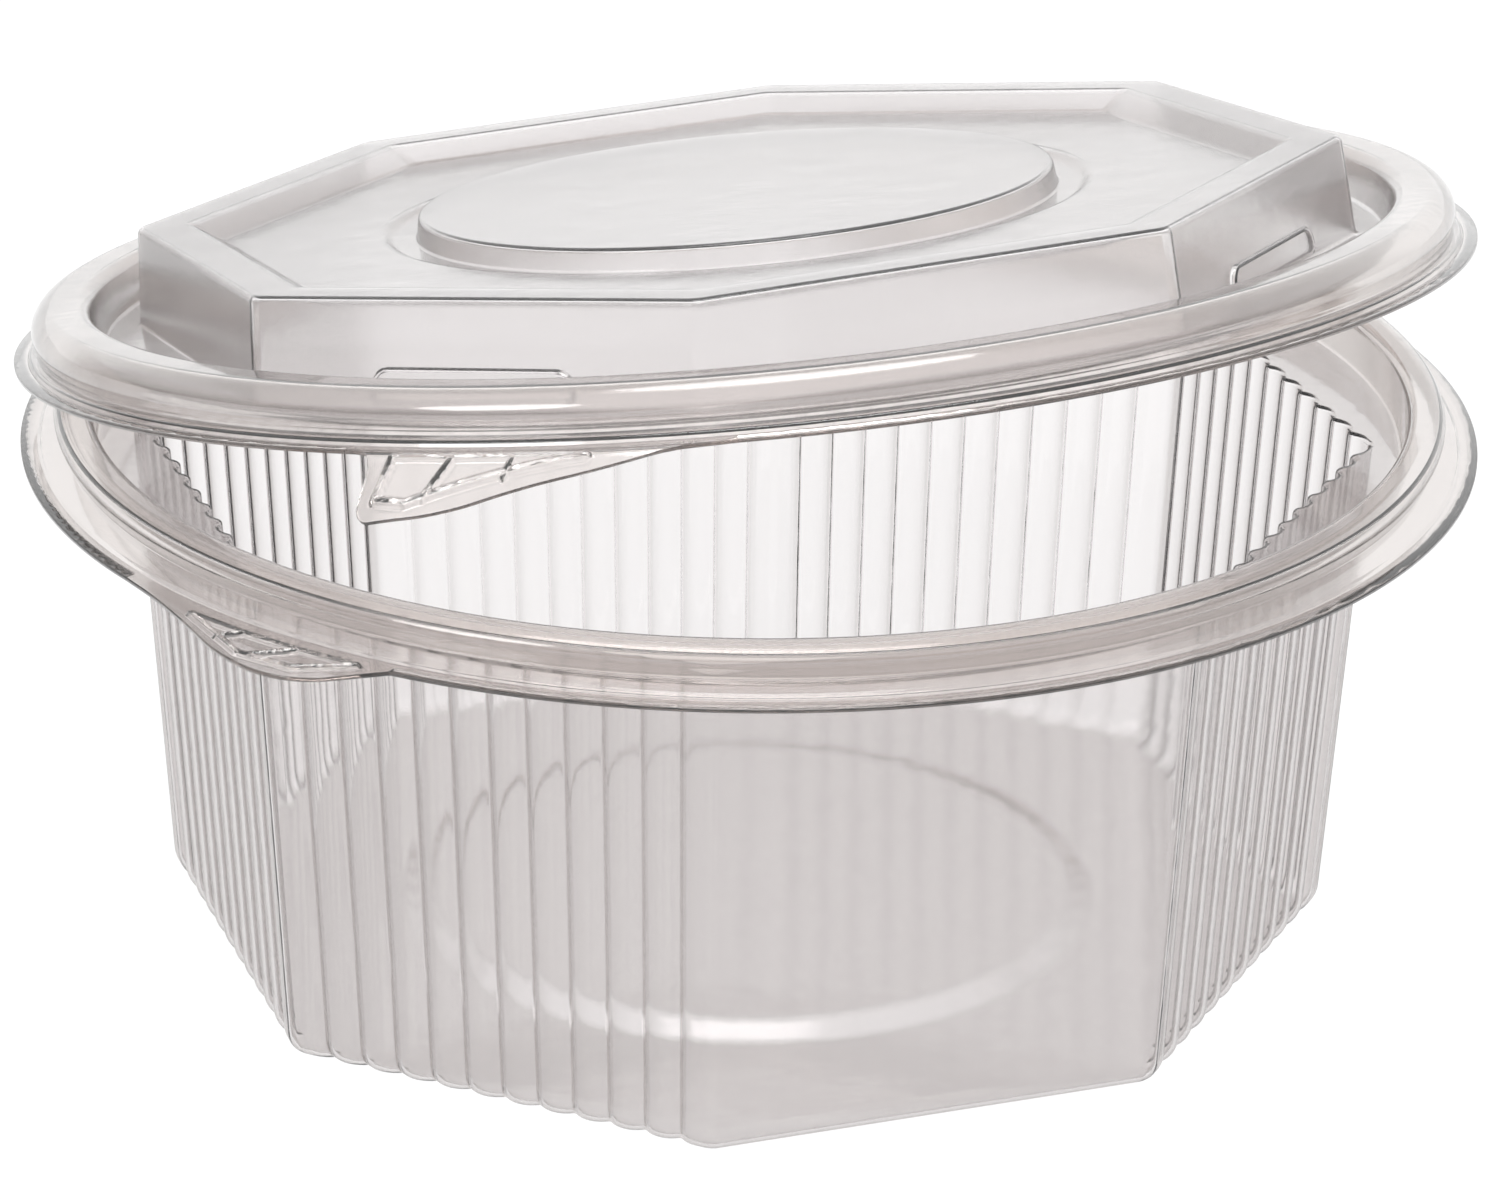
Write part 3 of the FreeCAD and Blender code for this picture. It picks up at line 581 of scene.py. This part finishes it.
# %% From surface to sheet
SHARP = math.radians(40)
MM = 0.001
RIM_STARTS = 75.6
RIM_FADE = 0.8
# flat_painted_shade sets how much painted slant shade a face keeps as it lies flatter: more on the tub's floor,
# little on the lid's tops. satin adds roughness.
RIM_FINISH_AND_SHADE = {"flat_painted_shade": 0.90, "satin": 0.25}
TUB_FINISH_AND_SHADE = {"flat_painted_shade": 1.25, "satin": 0.0}
LID_FINISH_AND_SHADE = {"flat_painted_shade": 0.20, "satin": 1.0}


def sheet_object(name, bm, body, node, finish_and_shade, turn=None):
    """An object with the sheet's thickness, riding on a body and standing for its CAD node."""
    bmesh.ops.remove_doubles(bm, verts=bm.verts, dist=WELD)
    bmesh.ops.recalc_face_normals(bm, faces=bm.faces)
    for face in bm.faces:
        face.smooth = True
    for edge in bm.edges:
        if edge.is_manifold and edge.calc_face_angle() > SHARP:
            edge.smooth = False
    rim = bm.verts.layers.float.new("rim")
    painted_shade_strength = bm.verts.layers.float.new("painted_shade_strength")
    satin = bm.verts.layers.float.new("satin")
    cut = bm.verts.layers.float.new("cut")
    for vert in bm.verts:
        vert[rim] = min(max((vert.co.xy.length - RIM_STARTS) / RIM_FADE, 0.0), 1.0)
        here = {key: finish_and_shade[key] + (RIM_FINISH_AND_SHADE[key] - finish_and_shade[key]) * vert[rim] for key in finish_and_shade}
        # Painted shade: how strongly the slanted dark colour is painted here, set apart for faces that lie flat.
        vert[painted_shade_strength] = 1 - (1 - here["flat_painted_shade"]) * abs(vert.normal.z)
        vert[satin] = here["satin"]
        # Marks the cut edges, where the material paints shade.
        vert[cut] = float(vert.is_boundary)
    if turn:
        bmesh.ops.transform(bm, verts=bm.verts, matrix=turn)
    bmesh.ops.scale(bm, verts=bm.verts, vec=(MM, MM, MM))
    loose = sum(edge.is_boundary for edge in bm.edges), sum(not edge.link_faces for edge in bm.edges)
    mesh = bpy.data.meshes.new(name)
    bm.to_mesh(mesh)
    bm.free()
    obj = bpy.data.objects.new(name, mesh)
    bpy.context.scene.collection.objects.link(obj)
    solid = obj.modifiers.new("thickness", "SOLIDIFY")
    solid.thickness = GAUGE * MM
    solid.offset = 0
    weighted = obj.modifiers.new("normals", "WEIGHTED_NORMAL")
    weighted.keep_sharp = True
    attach(obj, body)
    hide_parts(node)
    print(name, len(mesh.polygons), "faces;", loose[0], "edges on the outer boundary,", loose[1], "loose")
    return obj


tub = sheet_object("tub_sheet", tub_surface(), "base", "tub", TUB_FINISH_AND_SHADE)

# %% The lid, opened about the fold line
AJAR = math.radians(10.4)
out = Vector((math.cos(HINGE_HEADING), math.sin(HINGE_HEADING), 0))
along = Vector((-out.y, out.x, 0))
fold = out * HINGE_REACH + Vector((0, 0, FLANGE + CLOSING_GAP / 2))
opening = Matrix.Translation(fold) @ Matrix.Rotation(AJAR, 4, along) @ Matrix.Translation(-fold)
lid = sheet_object("lid_sheet", lid_surface(), "cover", "lid", LID_FINISH_AND_SHADE, opening)

# %% [markdown]
# Shader sums read like sums here: Shade holds a socket, and its operators make Math nodes. Any
# other node comes from one method that is given its type, its settings, and values or
# links for its sockets.

# %% Shader maths
class Shade:
    """A node's output that can be added, subtracted, multiplied, divided and raised."""

    def __init__(self, tree, socket=None):
        self.tree = tree
        self.socket = socket

    def node(self, kind, settings, values, output=0):
        made = self.tree.nodes.new(kind)
        for name, value in settings.items():
            setattr(made, name, value)
        for name, value in values.items():
            if isinstance(value, Shade):
                self.tree.links.new(value.socket, made.inputs[name])
            else:
                made.inputs[name].default_value = value
        return Shade(self.tree, made.outputs[output])

    def maths(self, operation, first, second):
        return self.node("ShaderNodeMath", {"operation": operation}, {0: first, 1: second})

    def __add__(self, other):
        return self.maths("ADD", self, other)

    def __sub__(self, other):
        return self.maths("SUBTRACT", self, other)

    def __mul__(self, other):
        return self.maths("MULTIPLY", self, other)

    def __truediv__(self, other):
        return self.maths("DIVIDE", self, other)

    def __pow__(self, other):
        return self.maths("POWER", self, other)

    def __rsub__(self, other):
        return self.maths("SUBTRACT", other, self)

    def __rtruediv__(self, other):
        return self.maths("DIVIDE", other, self)

    __radd__ = __add__
    __rmul__ = __mul__

    def into(self, node, name):
        self.tree.links.new(self.socket, node.inputs[name])


# %% [markdown]
# The sheet lets nearly all light through, and what is seen is the studio bent and mirrored at the
# folds. Each layer takes a little light away with a faint warm grey. Shade is also painted into the
# colour: a dark warm colour where the sheet is seen at a slant, which Layer Weight's facing gives,
# standing in for the dim room mirrored there, stronger on the tub's floor and weaker on the lid's
# flat tops; a warmer grey on the rims for the shade in their beads; and near black at the cut
# edges. Forming leaves the sheet slightly wavy and unevenly glossy, and two noises give it that.

# %% The clear sheet's material
SHEET_TINT = (0.90, 0.882, 0.882, 1.0)
# Painted shade: the rims are the same sheet, painted a warmer, darker grey for the shade in their beads.
RIM_PAINTED_SHADE = (0.90, 0.862, 0.842, 1.0)
# Painted shade: a dark warm colour mixed in where the sheet is seen at a slant, standing in for the dim room
# mirrored there.
SLANTED_PAINTED_SHADE = (0.10, 0.055, 0.04, 1.0)
SLANT_POWER = 1.6
# Painted shade: the cut edges painted near black, for the dark line that a clear cut edge shows.
CUT_PAINTED_SHADE = (0.06, 0.045, 0.04, 1.0)
CUT_FADE = 8.0
RIM_COAT = 0.6
RIM_COAT_ROUGHNESS = 0.03
SHEET_IOR = 1.5
ROUGHNESS = 0.04
ROUGHNESS_SPREAD = 0.05
SATIN_ROUGHNESS = 0.10
CLOUD_SCALE = 45.0
WAVE_SCALE = 160.0
WAVE_STRENGTH = 0.12
WAVE_HEIGHT = 0.0004

plastic = bpy.data.materials.new("clear_sheet")
plastic.use_nodes = True
shader = plastic.node_tree.nodes["Principled BSDF"]
shader.inputs["Transmission Weight"].default_value = 1.0
shader.inputs["IOR"].default_value = SHEET_IOR
shader.inputs["Coat Roughness"].default_value = RIM_COAT_ROUGHNESS
shade = Shade(plastic.node_tree)
place = shade.node("ShaderNodeTexCoord", {}, {}, "Object")
rim = shade.node("ShaderNodeAttribute", {"attribute_name": "rim"}, {}, "Fac")
painted_shade_strength = shade.node("ShaderNodeAttribute", {"attribute_name": "painted_shade_strength"}, {}, "Fac")
satin = shade.node("ShaderNodeAttribute", {"attribute_name": "satin"}, {}, "Fac")
cut = shade.node("ShaderNodeAttribute", {"attribute_name": "cut"}, {}, "Fac") ** CUT_FADE
# Painted shade: the slant from Layer Weight's facing, times the painted shade strength.
painted_slant_shade = shade.node("ShaderNodeLayerWeight", {}, {"Blend": 0.5}, "Facing") ** SLANT_POWER * painted_shade_strength
# Painted shade on the rims, blended in by the rim mask.
sheet_tint_and_rim_shade = shade.node("ShaderNodeMix", {"data_type": "RGBA"}, {0: rim, 6: SHEET_TINT, 7: RIM_PAINTED_SHADE}, 2)
tint_and_painted_shade = shade.node("ShaderNodeMix", {"data_type": "RGBA"}, {0: painted_slant_shade, 6: sheet_tint_and_rim_shade, 7: SLANTED_PAINTED_SHADE}, 2)
# Painted shade at the cut edges.
tint_and_painted_shade = shade.node("ShaderNodeMix", {"data_type": "RGBA"}, {0: cut, 6: tint_and_painted_shade, 7: CUT_PAINTED_SHADE}, 2)
tint_and_painted_shade.into(shader, "Base Color")
clouds = shade.node("ShaderNodeTexNoise", {}, {"Vector": place, "Scale": CLOUD_SCALE, "Detail": 3.0})
(clouds * ROUGHNESS_SPREAD + ROUGHNESS + satin * SATIN_ROUGHNESS).into(shader, "Roughness")
(rim * RIM_COAT).into(shader, "Coat Weight")
waves = shade.node("ShaderNodeTexNoise", {}, {"Vector": place, "Scale": WAVE_SCALE, "Detail": 2.0})
bump = {"Height": waves, "Strength": WAVE_STRENGTH, "Distance": WAVE_HEIGHT}
shade.node("ShaderNodeBump", {}, bump).into(shader, "Normal")
for obj in (tub, lid):
    obj.data.materials.append(plastic)
print("material", plastic.name, "with", len(plastic.node_tree.nodes), "nodes")

# %% [markdown]
# The studio is a white floor under an overhead light tent, with a white backdrop behind the pack
# and a dim warm grey room on the other sides. Clear things are drawn by what surrounds
# them: the backdrop keeps the lid's flat tops light, and the room is what the beads, creases
# and flutes mirror as darker lines. The floor glows, as a lit table does.

# %% The studio
FLOOR_RADIUS = 6.0
FLOOR_WHITE = (0.05, 0.05, 0.05, 1.0)
GLOW_WHITE = (1.0, 1.0, 1.0, 1.0)
FLOOR_GLOW = 1.0
ROOM = (0.07, 0.06, 0.055, 1.0)
TENT = (1.3, 1.3, 1.3, 1.0)
TENT_FULL = 0.42
BACKDROP_HEADING = math.radians(70)
BACKDROP_STARTS = 0.25
BACKDROP_FULL = 0.75

world = bpy.data.worlds.new("studio")
world.use_nodes = True
bpy.context.scene.world = world
sky = Shade(world.node_tree)
direction = sky.node("ShaderNodeTexCoord", {}, {}, "Generated")
east, north, rise = (sky.node("ShaderNodeSeparateXYZ", {}, {0: direction}, axis) for axis in "XYZ")
towards = east * math.cos(BACKDROP_HEADING) + north * math.sin(BACKDROP_HEADING)
span = BACKDROP_FULL - BACKDROP_STARTS
bright = sky.maths("MAXIMUM", rise / TENT_FULL, (towards - BACKDROP_STARTS) / span)
bright = sky.node("ShaderNodeClamp", {}, {"Value": bright})
tent = sky.node("ShaderNodeMix", {"data_type": "RGBA"}, {0: bright, 6: ROOM, 7: TENT}, 2)
tent.into(world.node_tree.nodes["Background"], "Color")
bpy.context.scene.view_settings.view_transform = "Standard"

floor_mesh = bmesh.new()
bmesh.ops.create_circle(floor_mesh, cap_ends=True, segments=64, radius=FLOOR_RADIUS)
mesh = bpy.data.meshes.new("floor")
floor_mesh.to_mesh(mesh)
floor_mesh.free()
floor = bpy.data.objects.new("floor", mesh)
bpy.context.scene.collection.objects.link(floor)
paper = bpy.data.materials.new("floor_paper")
paper.use_nodes = True
shader = paper.node_tree.nodes["Principled BSDF"]
shader.inputs["Base Color"].default_value = FLOOR_WHITE
shader.inputs["Roughness"].default_value = 1.0
shader.inputs["Specular IOR Level"].default_value = 0.0
shader.inputs["Emission Color"].default_value = GLOW_WHITE
shader.inputs["Emission Strength"].default_value = FLOOR_GLOW
mesh.materials.append(paper)

OVERHEAD = {"place": (0.0, 0.1, 1.6), "size": 0.9, "power": 10.0}
SIDE = {"place": (-1.1, -0.5, 0.8), "size": 0.6, "power": 4.0}
for name, lamp in (("overhead", OVERHEAD), ("side", SIDE)):
    light = bpy.data.lights.new(name, "AREA")
    light.shape = "DISK"
    light.size = lamp["size"]
    light.energy = lamp["power"]
    softbox = bpy.data.objects.new(name, light)
    softbox.location = lamp["place"]
    softbox.rotation_euler = Vector(lamp["place"]).to_track_quat("Z", "Y").to_euler()
    bpy.context.scene.collection.objects.link(softbox)
print("studio ready")

# %% [markdown]
# The camera stands where the photographer's stood: a long lens, about 21 degrees above
# the table, aimed a little below the rim.

# %% The camera
CAMERA_HEADING = math.radians(250.24)
CAMERA_RISE = math.radians(20.88)
CAMERA_DISTANCE = 0.6827
AIM_BELOW = 0.0314
AIM_RIGHT = 0.000476
CAMERA_ROLL = math.radians(0.70)
LENS = 139.5

rim_centre = Vector((0, 0, FLANGE * MM))
away = Vector((math.cos(CAMERA_RISE) * math.cos(CAMERA_HEADING),
               math.cos(CAMERA_RISE) * math.sin(CAMERA_HEADING), math.sin(CAMERA_RISE)))
upright = Vector((0, 0, 1))
side = (-away).cross(upright).normalized()
lift = side.cross(-away)
look = (-away + side * AIM_RIGHT - lift * AIM_BELOW).normalized()
level = look.cross(upright).normalized()
right = level * math.cos(CAMERA_ROLL) + level.cross(look) * math.sin(CAMERA_ROLL)
pose = Matrix((right, right.cross(look), -look)).transposed().to_4x4()
pose.translation = rim_centre + away * CAMERA_DISTANCE
lens = bpy.data.cameras.new("camera")
lens.lens = LENS
lens.sensor_width = 36
lens.sensor_fit = "HORIZONTAL"
camera = bpy.data.objects.new("camera", lens)
camera.matrix_world = pose
bpy.context.scene.collection.objects.link(camera)
bpy.context.scene.camera = camera
print("camera at", [round(x, 4) for x in pose.translation])
